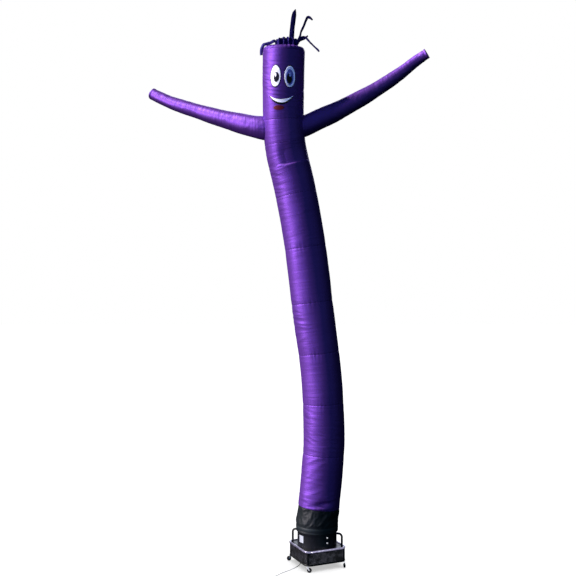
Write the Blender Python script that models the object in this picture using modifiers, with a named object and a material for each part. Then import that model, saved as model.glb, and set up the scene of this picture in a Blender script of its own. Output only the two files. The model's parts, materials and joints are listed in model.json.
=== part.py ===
# Inflatable air dancer: a swaying cloth tube figure, fed by a fan housing on four casters.
# Metres, +Z up. The camera side is -Y. The origin is on the floor under the middle of the whole.
import bpy
import bmesh
from math import cos, exp, pi, radians, sin, sqrt
from mathutils import Matrix, Vector

# Places of the whole
blowerAt = Vector((0.375, -0.195, 0.0))
blowerTurn = radians(24)
gap = 0.0003

# Cloth tube: an 18 inch bore sewn from panels about 24 inches tall
tubeRadius = 0.2335
clothThickness = 0.002
tubeSegments = 24
seamHeights = [0.660, 1.249, 1.828, 2.400, 2.973, 3.596, 4.202, 4.785, 5.046, 5.800]
seamPinch = 0.0065
seamReach = 0.055
puckerCount = 6
puckerDepth = 0.0035
bodyPanelRows = (0.0, 0.14, 0.86, 1.0)
shoulderRows = (0.0, 0.2, 0.8, 1.0)
headRows = (0.0, 0.08, 0.5, 0.92, 1.0)

# Middle line of the tube, bottom to top
sway = [
    # z, x, y
    (0.30, 0.000, 0.000),
    (0.60, 0.016, 0.000),
    (1.01, 0.055, 0.000),
    (1.42, 0.078, 0.005),
    (2.11, 0.053, 0.010),
    (2.93, -0.050, 0.015),
    (3.76, -0.158, 0.020),
    (4.30, -0.256, 0.015),
    (4.72, -0.352, 0.000),
    (5.05, -0.382, -0.035),
    (5.40, -0.385, -0.080),
    (5.92, -0.375, -0.150),
]

# Domed top of the head: height over its seam and share of the tube's radius
crownRows = [(0.0, 1.0), (0.014, 0.985), (0.030, 0.945), (0.041, 0.87), (0.046, 0.76)]
crownPleat = 0.010

# Arms, from the tube's middle line to the open tip
armSegments = 16
armSpans = 10
armSeat = 0.006
armGap = 0.0009
hemLength = 0.03
hemRise = 0.003
rightArm = [
    # x, y, z, radius
    (-0.377, -0.020, 4.920, 0.114),
    (-0.147, -0.015, 4.982, 0.115),
    (0.036, -0.010, 5.066, 0.111),
    (0.219, 0.000, 5.151, 0.105),
    (0.402, 0.010, 5.249, 0.098),
    (0.585, 0.020, 5.351, 0.090),
    (0.768, 0.030, 5.466, 0.081),
    (0.950, 0.022, 5.590, 0.071),
    (1.130, -0.010, 5.726, 0.060),
    (1.244, -0.058, 5.794, 0.052),
]
leftArm = [
    # x, y, z, radius
    (-0.377, 0.000, 4.942, 0.142),
    (-0.586, 0.012, 4.962, 0.134),
    (-0.747, 0.060, 4.997, 0.120),
    (-0.897, 0.135, 5.047, 0.111),
    (-1.048, 0.210, 5.099, 0.103),
    (-1.206, 0.290, 5.157, 0.095),
    (-1.370, 0.375, 5.222, 0.088),
    (-1.542, 0.465, 5.292, 0.082),
    (-1.718, 0.555, 5.368, 0.076),
    (-1.872, 0.635, 5.447, 0.069),
    (-1.987, 0.695, 5.511, 0.063),
]

# Hair: cloth strips that stand on the flat top of the crown
stripThickness = 0.0025
tallStrip = [
    # x, y, z, width
    (0.080, -0.035, 0.000, 0.050),
    (0.084, -0.036, 0.070, 0.058),
    (0.088, -0.040, 0.165, 0.057),
    (0.096, -0.034, 0.255, 0.056),
    (0.105, -0.030, 0.330, 0.056),
    (0.112, -0.034, 0.370, 0.042),
    (0.122, -0.038, 0.405, 0.006),
]
hookStrip = [
    (0.115, 0.018, 0.000, 0.040),
    (0.140, 0.018, 0.050, 0.040),
    (0.168, 0.018, 0.095, 0.038),
    (0.183, 0.020, 0.130, 0.034),
    (0.192, 0.022, 0.175, 0.032),
    (0.220, 0.028, 0.237, 0.032),
    (0.245, 0.034, 0.306, 0.034),
    (0.259, 0.036, 0.331, 0.034),
    (0.284, 0.032, 0.327, 0.032),
    (0.314, 0.026, 0.302, 0.018),
]
longStrip = [
    (0.138, -0.030, 0.000, 0.042),
    (0.165, -0.031, 0.055, 0.044),
    (0.200, -0.034, 0.095, 0.044),
    (0.240, -0.038, 0.096, 0.036),
    (0.288, -0.044, 0.048, 0.028),
    (0.345, -0.052, -0.004, 0.026),
    (0.378, -0.056, -0.035, 0.030),
    (0.395, -0.058, -0.053, 0.022),
]
forkStrip = [
    (0.118, 0.066, 0.000, 0.036),
    (0.150, 0.066, 0.060, 0.038),
    (0.195, 0.064, 0.092, 0.036),
    (0.228, 0.060, 0.104, 0.030),
    (0.268, 0.058, 0.136, 0.018),
]
archStrip = [
    (-0.072, 0.006, 0.000, 0.050),
    (-0.085, 0.004, 0.048, 0.050),
    (-0.112, 0.000, 0.064, 0.048),
    (-0.150, -0.004, 0.044, 0.046),
    (-0.190, -0.008, 0.030, 0.046),
    (-0.228, -0.012, 0.016, 0.044),
    (-0.251, -0.016, -0.035, 0.042),
    (-0.254, -0.020, -0.100, 0.034),
]
ruffleStations = 26
ruffleWaves = 4.5
ruffleThickness = 0.003

# Fan drum with its outlet bead, and the black sleeve strapped over the bead
drumRadius = 0.223
drumWall = 0.003
drumSegments = 32
drumTop = 0.480
beadRadius = 0.2335
beadLow = 0.405
beadHigh = 0.470
sleeveBottom = 0.392
sleeveThickness = 0.0025
strapLow = 0.418
strapHigh = 0.457
strapThickness = 0.003

# Frame of the blower: rounded square hoops of round tube
frameHalf = 0.247
frameCorner = 0.07
cornerSteps = 5
hoopRadius = 0.0125
hoopHeight = 0.2205
railRadius = 0.010
railHeight = 0.077
postRadius = 0.010
guardThickness = 0.002
deckThickness = 0.003
deckBore = 0.190
trayThickness = 0.002
trayBore = 0.150

# Handles in the hoop's left and right corners
handleRadius = 0.012
handleReach = 0.295
handleTop = 0.370
handleBend = 0.035
handleSides = (radians(159), radians(-21))

# Rating plate and bolt heads on the drum
plateAt = radians(-144.75)
plateHalfAngle = radians(9)
plateThickness = 0.0015
plateLow = 0.280
plateHigh = 0.359
boltAt = radians(-61.5)
boltHeights = (0.293, 0.351)
boltRadius = 0.009
boltLength = 0.006

# Casters, one under each corner of the rail
wheelRadius = 0.026
wheelHalf = 0.009
wheelBore = 0.0036
pinRadius = 0.003
forkInner = 0.0102
forkPlate = 0.0025
forkTop = 0.0595
forkBridge = 0.0035
casterTrail = 0.020
casterMountRadius = 0.014
casters = [
    # name, corner angle, direction of the trail
    ("left", radians(159), radians(190)),
    ("front", radians(249), radians(-12)),
    ("right", radians(-21), radians(-80)),
    ("back", radians(69), radians(60)),
]

# Power cord: gland under the tray, free stretch on the floor, wound rest and plug
cordRadius = 0.0045
cordPointCount = 44
cordHeading = radians(247)
glandTip = Vector((-0.150, 0.064))
glandLength = 0.014
glandRadius = 0.012
reliefLength = 0.030
reliefTipRadius = 0.0060
cordFloor = cordRadius + 0.0002
coilAt = Vector((-0.560, -0.585))
coilMidRadius = 0.050
coilHalfWidth = 0.009
coilHeight = 0.027
plugLength = 0.036
plugHalfWidth = 0.0135
plugHalfHeight = 0.0125
plugReliefLength = 0.020


def emptyScene():
    for ob in list(bpy.data.objects):
        bpy.data.objects.remove(ob, do_unlink=True)


emptyScene()
parts = bpy.data.collections.new("airDancer")
cutters = bpy.data.collections.new("cutters")
bpy.context.scene.collection.children.link(parts)
bpy.context.scene.collection.children.link(cutters)


def material(name, color, roughness, metallic=0.0):
    mat = bpy.data.materials.new(name)
    mat.use_nodes = True
    shader = mat.node_tree.nodes["Principled BSDF"]
    shader.inputs["Base Color"].default_value = (*color, 1.0)
    shader.inputs["Roughness"].default_value = roughness
    shader.inputs["Metallic"].default_value = metallic
    mat.diffuse_color = (*color, 1.0)
    return mat


purpleCloth = material("purple_cloth", (0.24, 0.10, 0.52), 0.55)
crownCloth = material("crown_cloth", (0.20, 0.08, 0.45), 0.55)
hairCloth = material("hair_cloth", (0.05, 0.03, 0.16), 0.6)
sleeveCloth = material("sleeve_cloth", (0.02, 0.024, 0.03), 0.5)
strapWebbing = material("strap_webbing", (0.03, 0.034, 0.04), 0.6)
drumShell = material("drum_shell", (0.016, 0.018, 0.024), 0.35)
hoopPaint = material("hoop_paint", (0.16, 0.15, 0.2), 0.25, 0.6)
frameSteel = material("frame_steel", (0.012, 0.012, 0.016), 0.4, 0.4)
guardMesh = material("guard_mesh", (0.02, 0.02, 0.026), 0.5, 0.5)
handlePaint = material("handle_paint", (0.008, 0.008, 0.01), 0.4)
palePlate = material("pale_plate", (0.75, 0.78, 0.85), 0.4)
zinc = material("zinc", (0.7, 0.71, 0.72), 0.3, 0.9)
wheelRubber = material("wheel_rubber", (0.012, 0.012, 0.012), 0.6)
cordJacket = material("cord_jacket", (0.12, 0.12, 0.13), 0.5)
plugPlastic = material("plug_plastic", (0.02, 0.02, 0.022), 0.45)


def anchor(name, place, turn, parent=None):
    ob = bpy.data.objects.new(name, None)
    parts.objects.link(ob)
    ob.matrix_world = Matrix.Translation(place) @ turn.to_4x4()
    if parent:
        ob.parent = parent
    return ob


def meshObject(name, bm, mat, parent=None, collection=parts):
    bmesh.ops.recalc_face_normals(bm, faces=bm.faces)
    mesh = bpy.data.meshes.new(name)
    bm.to_mesh(mesh)
    bm.free()
    mesh.shade_smooth()
    mesh.set_sharp_from_angle(angle=radians(40))
    if mat:
        mesh.materials.append(mat)
    ob = bpy.data.objects.new(name, mesh)
    collection.objects.link(ob)
    ob.parent = parent
    if collection is cutters:
        ob.hide_render = True
        ob.display_type = "WIRE"
    return ob


# Faces between rows of points: closed round each row, and capped at the ends that are asked for
def loft(rows, capStart=False, capEnd=False):
    bm = bmesh.new()
    rings = [[bm.verts.new(p) for p in row] for row in rows]
    for low, high in zip(rings, rings[1:]):
        for i in range(len(low)):
            j = (i + 1) % len(low)
            bm.faces.new((low[i], low[j], high[j], high[i]))
    if capStart:
        bm.faces.new(list(reversed(rings[0])))
    if capEnd:
        bm.faces.new(rings[-1])
    return bm


# The mesh of a skin keeps its lofted direction, which points out, so Solidify goes inwards
def skin(name, rows, thickness, mat, parent, capEnd=False):
    bm = loft(rows, capEnd=capEnd)
    mesh = bpy.data.meshes.new(name)
    bm.to_mesh(mesh)
    bm.free()
    mesh.shade_smooth()
    mesh.materials.append(mat)
    ob = bpy.data.objects.new(name, mesh)
    parts.objects.link(ob)
    ob.parent = parent
    wall = ob.modifiers.new("wall", "SOLIDIFY")
    wall.thickness = thickness
    wall.offset = -1.0
    wall.use_even_offset = True
    return ob


def cut(ob, cutter):
    mod = ob.modifiers.new("cut", "BOOLEAN")
    mod.operation = "DIFFERENCE"
    mod.solver = "EXACT"
    mod.object = cutter


# Smooth value of a table at its first column's key, with slopes from the neighbouring rows
def tableAt(table, key):
    last = len(table) - 2
    i = max(k for k in range(last + 1) if k == 0 or table[k][0] <= key)
    low, high = table[i], table[i + 1]
    step = high[0] - low[0]
    t = (key - low[0]) / step

    def slope(k):
        a, b = table[max(k - 1, 0)], table[min(k + 1, last + 1)]
        return [(q - p) / (b[0] - a[0]) for p, q in zip(a[1:], b[1:])]

    h = (2 * t**3 - 3 * t**2 + 1, t**3 - 2 * t**2 + t, 3 * t**2 - 2 * t**3, t**3 - t**2)
    pairs = zip(low[1:], slope(i), high[1:], slope(i + 1))
    return [h[0] * p + h[1] * step * m + h[2] * q + h[3] * step * n for p, m, q, n in pairs]


# The same through points that have no key of their own, keyed by their place in the list
def pointsAt(points, share):
    keyed = [(i, *p) for i, p in enumerate(points)]
    return tableAt(keyed, share * (len(points) - 1))


def crossAxes(tangent, hint):
    side = (hint - tangent * hint.dot(tangent)).normalized()
    return side, tangent.cross(side)


def ringAt(centre, tangent, hint, count, radiusAt, start=0.0):
    side, front = crossAxes(tangent, hint)
    angles = [start + 2 * pi * i / count for i in range(count)]
    return [centre + (side * cos(a) + front * sin(a)) * radiusAt(a) for a in angles]


def middleAt(z):
    x, y = tableAt(sway, z)
    return Vector((x, y, z))


def leanAt(z, reach=0.02):
    return (middleAt(z + reach) - middleAt(z - reach)).normalized()


# Radius of the inflated tube: drawn in and puckered at each seam, and softly uneven between
def tubeRadiusAt(z, angle):
    seam = min(range(len(seamHeights)), key=lambda k: abs(z - seamHeights[k]))
    near = exp(-(((z - seamHeights[seam]) / seamReach) ** 2))
    pucker = puckerDepth * near * sin(puckerCount * angle + 1.9 * seam)
    soft = 0.002 * sin(2 * angle + 2.3 * z) + 0.0015 * sin(3 * angle - 3.1 * z)
    return tubeRadius - seamPinch * near + pucker + soft


def tubeRing(z, grow=0.0):
    return ringAt(
        middleAt(z), leanAt(z), Vector((1, 0, 0)), tubeSegments, lambda a: tubeRadiusAt(z, a) + grow
    )


def panelHeights(low, high, rows):
    bottom, top = low + gap / 2, high - gap / 2
    return [bottom + (top - bottom) * t for t in rows]


def tubePanel(name, low, high, rows, parent):
    return skin(name, [tubeRing(z) for z in panelHeights(low, high, rows)], clothThickness, purpleCloth, parent)


def crown(parent):
    seam = seamHeights[-1] + gap / 2
    rows = [tubeRing(seam)]
    for rise, share in crownRows[1:]:
        z = seam + rise

        def radiusAt(a, share=share, z=z):
            pleat = crownPleat * (1 - share) * cos(tubeSegments / 2 * a)
            return share * tubeRadius + pleat

        rows.append(ringAt(middleAt(z), leanAt(z), Vector((1, 0, 0)), tubeSegments, radiusAt))
    return skin("crown", rows, clothThickness, crownCloth, parent, capEnd=True)


def armRows(table, grow, first, last, spans):
    rows = []
    for i in range(spans + 1):
        share = first + (last - first) * i / spans
        ahead = Vector(pointsAt(table, min(share + 0.01, 1))[:3])
        behind = Vector(pointsAt(table, max(share - 0.01, 0))[:3])
        x, y, z, radius = pointsAt(table, share)
        lumps = 0.0015 * sin(9 * share * pi)
        rows.append(
            ringAt(
                Vector((x, y, z)),
                (ahead - behind).normalized(),
                Vector((0, 0, 1)),
                armSegments,
                lambda a, r=radius, s=share, m=lumps: r + m + 0.002 * sin(2 * a + 8 * s) + grow,
            )
        )
    return rows


def arm(name, table, parent):
    rows = armRows(table, 0.0, 0.0, 1.0, armSpans)
    tip = Vector(pointsAt(table, 1.0)[:3])
    back = (tip - Vector(pointsAt(table, 0.98)[:3])).normalized()
    hem = [p - back * hemLength for p in rows[-1]]
    flare = [tip + (p - tip) * (1 + hemRise / table[-1][3]) for p in rows[-1]]
    ob = skin(name, rows[:-1] + [hem, flare], clothThickness, purpleCloth, parent)
    cut(ob, shoulderCore)
    return ob


# A flat strip of cloth through points with widths: it starts at an angle to the X axis and turns on the way
def strip(name, table, start, twist, parent):
    rows = []
    points = [Vector(p[:3]) + Vector((0, 0, gap)) for p in table]
    wide = Vector((cos(start), sin(start), 0))
    last = Vector((0, 0, 1))
    for i, point in enumerate(points):
        ahead = points[min(i + 1, len(points) - 1)]
        behind = points[max(i - 1, 0)]
        tangent = (ahead - behind).normalized() if i else last
        wide.rotate(last.rotation_difference(tangent))
        last = tangent
        turned = Matrix.Rotation(twist * i / (len(points) - 1), 3, tangent)
        across = turned @ wide * table[i][3] / 2
        thin = turned @ tangent.cross(wide) * stripThickness / 2
        rows.append([point - across - thin, point + across - thin, point + across + thin, point - across + thin])
    return meshObject(name, loft(rows, True, True), hairCloth, parent)


# A gathered band of cloth that stands on the crown in waves, with an uneven upper edge
def ruffle(name, start, end, depth, phase, parent):
    rows = []
    for i in range(ruffleStations + 1):
        t = i / ruffleStations
        x = start[0] + (end[0] - start[0]) * t
        wave = ruffleWaves * 2 * pi * t + phase
        y = start[1] + (end[1] - start[1]) * t + depth * sin(wave)
        slope = depth * cos(wave) * ruffleWaves * 2 * pi / (end[0] - start[0])
        normal = Vector((-slope, 1, 0)).normalized() * ruffleThickness / 2
        height = 0.088 + 0.014 * sin(2.7 * wave + phase) + 0.010 * sin(1.3 * wave)
        height *= 0.65 + 0.35 * sin(pi * t)
        low = Vector((x, y, gap))
        high = Vector((x + 0.006 * sin(wave), y + 0.010 * sin(2 * wave + phase), height))
        rows.append([low - normal, low + normal, high + normal, high - normal])
    bm = loft(rows, True, True)
    bmesh.ops.triangulate(bm, faces=bm.faces)
    return meshObject(name, bm, hairCloth, parent)


# Corner-rounded square path, once round, starting on the +X side
def roundedSquare(half, radius, steps):
    points = []
    for quarter in range(4):
        turn = quarter * pi / 2
        centre = Matrix.Rotation(turn, 2) @ Vector((half - radius, half - radius))
        for k in range(steps + 1):
            a = turn + pi / 2 * k / steps
            points.append(centre + Vector((cos(a), sin(a))) * radius)
    return points


def curveTube(name, points, radius, mat, parent, cyclic=False, resolution=2):
    curve = bpy.data.curves.new(name, "CURVE")
    curve.dimensions = "3D"
    curve.bevel_depth = radius
    curve.bevel_resolution = resolution
    curve.use_fill_caps = not cyclic
    spline = curve.splines.new("POLY")
    spline.points.add(len(points) - 1)
    for slot, p in zip(spline.points, points):
        slot.co = (*p, 1.0)
    spline.use_cyclic_u = cyclic
    curve.materials.append(mat)
    ob = bpy.data.objects.new(name, curve)
    parts.objects.link(ob)
    ob.parent = parent
    return ob


def flatPlate(name, outlines, low, thickness, mat, parent):
    curve = bpy.data.curves.new(name, "CURVE")
    curve.dimensions = "2D"
    curve.fill_mode = "BOTH"
    curve.extrude = thickness / 2
    for outline in outlines:
        spline = curve.splines.new("POLY")
        spline.points.add(len(outline) - 1)
        for slot, p in zip(spline.points, outline):
            slot.co = (p[0], p[1], 0.0, 1.0)
        spline.use_cyclic_u = True
    curve.materials.append(mat)
    ob = bpy.data.objects.new(name, curve)
    parts.objects.link(ob)
    ob.parent = parent
    ob.location.z = low + thickness / 2
    return ob


# A turned body: the profile runs down its outer side and back up its inner side
def turned(name, profile, steps, mat, parent, closed=True):
    bm = bmesh.new()
    verts = [bm.verts.new((r, 0, z)) for r, z in profile]
    for a, b in zip(verts, verts[1:]):
        bm.edges.new((a, b))
    if closed:
        bm.edges.new((verts[-1], verts[0]))
    mesh = bpy.data.meshes.new(name)
    bm.to_mesh(mesh)
    bm.free()
    mesh.materials.append(mat)
    ob = bpy.data.objects.new(name, mesh)
    parts.objects.link(ob)
    ob.parent = parent
    screw = ob.modifiers.new("turn", "SCREW")
    screw.steps = steps
    screw.render_steps = steps
    screw.use_merge_vertices = True
    screw.merge_threshold = 0.00001
    return ob


def cylinder(name, radius, low, high, segments, mat, parent, place=(0, 0)):
    bm = bmesh.new()
    bmesh.ops.create_cone(
        bm, cap_ends=True, segments=segments, radius1=radius, radius2=radius, depth=high - low
    )
    ob = meshObject(name, bm, mat, parent)
    ob.location = (*place, (low + high) / 2)
    return ob


def polar(radius, angle):
    return Vector((cos(angle), sin(angle))) * radius


# Cloth figure
whole = anchor("figure", blowerAt, Matrix.Identity(3))
for number, (low, high) in enumerate(zip(seamHeights[:7], seamHeights[1:8]), 1):
    tubePanel(f"body_panel_{number}", low, high, bodyPanelRows, whole)
shoulder = tubePanel("shoulder_panel", seamHeights[7], seamHeights[8], shoulderRows, whole)
head = tubePanel("head_panel", seamHeights[8], seamHeights[9], headRows, whole)
crown(whole)

# The tube's outline round the shoulders, a little larger, trims the arms' roots to its surface
coreHeights = (
    panelHeights(seamHeights[7] - 0.15, seamHeights[7], (0.0, 1.0))
    + panelHeights(seamHeights[7], seamHeights[8], shoulderRows)
    + panelHeights(seamHeights[8], seamHeights[9], headRows)
)
shoulderCore = meshObject(
    "shoulder_core", loft([tubeRing(z, armGap) for z in coreHeights], True, True), None, whole, cutters
)
for name, table in (("arm_left", leftArm), ("arm_right", rightArm)):
    arm(name, table, whole)
    bore = meshObject(
        f"{name}_bore", loft(armRows(table, -armSeat, 0.0, 0.3, 4), True, True), None, whole, cutters
    )
    cut(shoulder, bore)
    cut(head, bore)

# Hair on the crown's flat top
topHeight = seamHeights[-1] + gap / 2 + crownRows[-1][0]
topSide, topFront = crossAxes(leanAt(topHeight), Vector((1, 0, 0)))
topTurn = Matrix((topSide, topFront, leanAt(topHeight))).transposed()
headTop = anchor("head_top", middleAt(topHeight), topTurn, whole)
strip("hair_tall", tallStrip, radians(10), radians(15), headTop)
strip("hair_hook", hookStrip, radians(58), radians(-28), headTop)
strip("hair_long", longStrip, radians(52), radians(-12), headTop)
strip("hair_fork", forkStrip, radians(50), radians(-15), headTop)
strip("hair_arch", archStrip, radians(48), radians(-8), headTop)
ruffle("hair_ruffle_front", (-0.090, -0.100), (0.140, -0.084), 0.017, 0.4, headTop)
ruffle("hair_ruffle_back", (-0.088, 0.108), (0.110, 0.112), 0.014, 2.1, headTop)

# Blower frame
blower = anchor("blower", Vector((0, 0, 0)), Matrix.Rotation(blowerTurn, 3, "Z"), whole)
outline = roundedSquare(frameHalf, frameCorner, cornerSteps)
cornerReach = (frameHalf - frameCorner) * sqrt(2) + frameCorner
curveTube("top_hoop", [(*p, hoopHeight) for p in outline], hoopRadius, hoopPaint, blower, True)
curveTube("bottom_rail", [(*p, railHeight) for p in outline], railRadius, frameSteel, blower, True)
postLow = railHeight + railRadius + gap
postHigh = hoopHeight - hoopRadius - gap
for name, corner, _ in casters:
    at = polar(cornerReach, corner - blowerTurn)
    cylinder(f"post_{name}", postRadius, postLow, postHigh, 12, frameSteel, blower, at)

guardInset = postRadius + gap
guardOutline = roundedSquare(frameHalf - guardInset, frameCorner - guardInset, cornerSteps)
guardTop = hoopHeight - sqrt(hoopRadius**2 - guardInset**2) - 2 * gap
trayTop = railHeight - 0.004
guardRows = [[(*p, z) for p in guardOutline] for z in (trayTop + gap, guardTop)]
skin("side_guard", guardRows, guardThickness, guardMesh, blower)


# A round air hole for a plate, centred on the blower's axis
def airHole(radius):
    return [polar(radius, 2 * pi * i / drumSegments) for i in range(drumSegments)]


trayOutlines = [guardOutline, airHole(trayBore)]
flatPlate("bottom_tray", trayOutlines, trayTop - trayThickness, trayThickness, frameSteel, blower)

deckLow = hoopHeight - deckThickness / 2
deckTop = deckLow + deckThickness
deckInset = hoopRadius + gap
deckOutline = roundedSquare(frameHalf - deckInset, frameCorner - deckInset, cornerSteps)
flatPlate("deck", [deckOutline, airHole(deckBore)], deckLow, deckThickness, frameSteel, blower)

# Fan drum: its facets' middles face the corners, where the handles meet it
halfFacet = pi / drumSegments
drumProfile = [
    (beadRadius - 0.004, drumTop),
    (beadRadius, beadHigh),
    (beadRadius, beadLow + 0.006),
    (drumRadius, beadLow),
    (drumRadius, deckTop + gap),
    (drumRadius - drumWall, deckTop + gap),
    (drumRadius - drumWall, beadLow + 0.004),
    (beadRadius - drumWall, beadLow + 0.010),
    (beadRadius - drumWall, beadHigh - 0.002),
    (beadRadius - drumWall - 0.004, drumTop),
]
drum = turned("fan_drum", drumProfile, drumSegments, drumShell, blower)
drum.rotation_euler.z = halfFacet


# Rings of the sleeve and strap line up with the drum's facets
def drumRing(centre, radius, lean=Vector((0, 0, 1)), wave=0.0):
    start = blowerTurn + halfFacet

    def radiusAt(a):
        return radius + wave * sin(5 * a)

    return ringAt(Vector(centre), lean, Vector((1, 0, 0)), drumSegments, radiusAt, start)


sleeveRadius = beadRadius + gap + sleeveThickness + 0.0001
sleeveTop = seamHeights[0] - 0.0006
sleeveRows = [
    drumRing((0, 0, sleeveBottom), sleeveRadius + 0.003, wave=0.0012),
    drumRing((0, 0, strapLow), sleeveRadius),
    drumRing((0, 0, drumTop + 0.005), sleeveRadius),
    drumRing((0.006, 0, 0.54), sleeveRadius + 0.002, wave=0.003),
    drumRing((0.013, 0, 0.60), sleeveRadius, wave=0.002),
    drumRing(middleAt(sleeveTop), tubeRadius - 0.003, leanAt(sleeveTop)),
]
skin("sleeve", sleeveRows, sleeveThickness, sleeveCloth, whole)
strapRadius = sleeveRadius + gap + strapThickness
strapRows = [drumRing((0, 0, z), strapRadius) for z in (strapLow + 0.001, strapHigh - 0.001)]
skin("strap", strapRows, strapThickness, strapWebbing, whole)

# Handles: up from the deck, round a bend and in to the drum
drumFlat = drumRadius * cos(halfFacet) + gap
for name, side in (("left", handleSides[0]), ("right", handleSides[1])):
    bend = [(handleReach - handleBend, handleTop - handleBend)]
    route = [(handleReach, deckTop + gap), (handleReach, handleTop - handleBend)]
    for k in range(1, 7):
        a = pi / 2 * k / 6
        route.append((bend[0][0] + handleBend * cos(a), bend[0][1] + handleBend * sin(a)))
    route.append((drumFlat, handleTop))
    points = [(*polar(r, side), z) for r, z in route]
    curveTube(f"handle_{name}", points, handleRadius, handlePaint, whole)

# Rating plate, bent over one facet of the drum and onto its neighbours
plateRows = []
for z in (plateLow, plateHigh):
    row = []
    for grow in (gap, gap + plateThickness):
        angles = [plateAt + turn for turn in (-plateHalfAngle, -halfFacet, halfFacet, plateHalfAngle)]
        if grow > gap:
            angles.reverse()
        for a in angles:
            away = abs(a - plateAt)
            toMiddle = min(away, 2 * halfFacet - away)
            reach = (drumRadius * cos(halfFacet) + grow) / cos(toMiddle)
            row.append(Vector((*polar(reach, a), z)))
    plateRows.append(row)
meshObject("rating_plate", loft(plateRows, True, True), palePlate, whole)

for number, z in enumerate(boltHeights, 1):
    bm = bmesh.new()
    bmesh.ops.create_cone(
        bm, cap_ends=True, segments=12, radius1=boltRadius, radius2=boltRadius * 0.8, depth=boltLength
    )
    bolt = meshObject(f"drum_bolt_{number}", bm, zinc, whole)
    out = Vector((*polar(1, boltAt), 0))
    bolt.location = out * (drumRadius + gap + boltLength / 2) + Vector((0, 0, z))
    bolt.rotation_euler = out.to_track_quat("Z", "Y").to_euler()


def boxMesh(bm, low, high):
    size = Vector(high) - Vector(low)
    place = Matrix.Translation((Vector(high) + Vector(low)) / 2) @ Matrix.Diagonal((*size, 1))
    bmesh.ops.create_cube(bm, size=1.0, matrix=place)


# One cutter-like piece that is joined to another by a union
def join(ob, name, bm):
    tool = meshObject(name, bm, None, ob.parent, cutters)
    tool.location = ob.location
    tool.rotation_euler = ob.rotation_euler
    mod = ob.modifiers.new("join", "BOOLEAN")
    mod.operation = "UNION"
    mod.solver = "EXACT"
    mod.object = tool


# Cheek of a caster's fork, from its bridge down to the wheel's pin, in the wheel's plane
def cheek(side):
    half = 0.011
    bossRadius = 0.006
    outlinePoints = [(-half, forkTop), (half, forkTop)]
    for k in range(5):
        a = radians(25 - 50 * k)
        outlinePoints.append((casterTrail + bossRadius * cos(a), wheelRadius + bossRadius * sin(a)))
    inner = side * forkInner
    outer = side * (forkInner + forkPlate)
    rows = [[Vector((x, y, z)) for x, z in outlinePoints] for y in (inner, outer)]
    return loft(rows, True, True)


def caster(name, corner, trail):
    axis = polar(cornerReach, corner)
    railLow = railHeight - railRadius - gap
    cylinder(f"caster_mount_{name}", casterMountRadius, forkTop + gap, railLow, 16, zinc, whole, axis)
    swivel = anchor(f"caster_{name}", Vector((*axis, 0)), Matrix.Rotation(trail, 3, "Z"), whole)
    reach = forkInner + forkPlate
    bm = bmesh.new()
    boxMesh(bm, (-0.0108, -reach + 0.0004, forkTop - forkBridge), (0.0108, reach - 0.0004, forkTop - 0.0002))
    fork = meshObject(f"caster_fork_{name}", bm, zinc, swivel)
    join(fork, f"cheek_a_{name}", cheek(1))
    join(fork, f"cheek_b_{name}", cheek(-1))
    pin = bmesh.new()
    across = Matrix.Translation((casterTrail, 0, wheelRadius)) @ Matrix.Rotation(pi / 2, 4, "X")
    bmesh.ops.create_cone(
        pin, cap_ends=True, segments=10, radius1=pinRadius, radius2=pinRadius,
        depth=2 * reach + 0.003, matrix=across,
    )
    join(fork, f"pin_{name}", pin)
    tread = [
        (wheelBore, wheelHalf),
        (wheelRadius - 0.005, wheelHalf),
        (wheelRadius, wheelHalf - 0.003),
        (wheelRadius, 0.003 - wheelHalf),
        (wheelRadius - 0.005, -wheelHalf),
        (wheelBore, -wheelHalf),
    ]
    wheel = turned(f"caster_wheel_{name}", tread, 20, wheelRubber, swivel)
    wheel.location = (casterTrail, 0, wheelRadius)
    wheel.rotation_euler.x = pi / 2


for row in casters:
    caster(*row)

# Cord gland: a turned body against the tray's underside, with a tapered relief towards the floor
glandHeight = trayTop - trayThickness - gap - glandRadius
glandProfile = [
    (0.0, reliefLength),
    (reliefTipRadius, reliefLength),
    (0.0095, 0.0),
    (glandRadius, 0.0),
    (glandRadius, -glandLength),
    (0.0, -glandLength),
]
gland = turned("cord_gland", glandProfile, 16, plugPlastic, whole, closed=False)
forward = Vector((*polar(1, cordHeading), 0))
gland.location = Vector((*glandTip, glandHeight)) - forward * (reliefLength + gap)
gland.rotation_euler = forward.to_track_quat("Z", "Y").to_euler()

# The free stretch, from the relief down to the floor, out under the rail and on to the coil
coilOuter = coilMidRadius + coilHalfWidth
meetAngle = radians(25)
beside = coilOuter + cordRadius + gap + 0.0002
meet = coilAt + polar(beside, meetAngle)
along = polar(1, meetAngle - pi / 2)
cordRoute = [
    Vector((*glandTip, glandHeight)),
    Vector((*glandTip, glandHeight)) + forward * 0.020,
    Vector((-0.169, 0.016, glandHeight - 0.009)),
    Vector((-0.180, -0.014, 0.032)),
    Vector((-0.193, -0.046, 0.014)),
    Vector((-0.214, -0.086, cordFloor)),
    Vector((-0.243, -0.135, cordFloor)),
    Vector((-0.281, -0.190, cordFloor)),
    Vector((-0.325, -0.243, cordFloor)),
    Vector((-0.373, -0.296, cordFloor)),
    Vector((-0.418, -0.349, cordFloor)),
    Vector((-0.455, -0.405, cordFloor)),
    Vector((*(meet - along * 0.065 + polar(0.010, meetAngle)), cordFloor)),
    Vector((*meet, cordFloor)),
]
cordPoints = [Vector(pointsAt(cordRoute, i / (cordPointCount - 1))) for i in range(cordPointCount)]
for point in cordPoints:
    point.z = max(point.z, cordFloor)
curveTube("cord_tube", cordPoints, cordRadius, cordJacket, whole)

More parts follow.
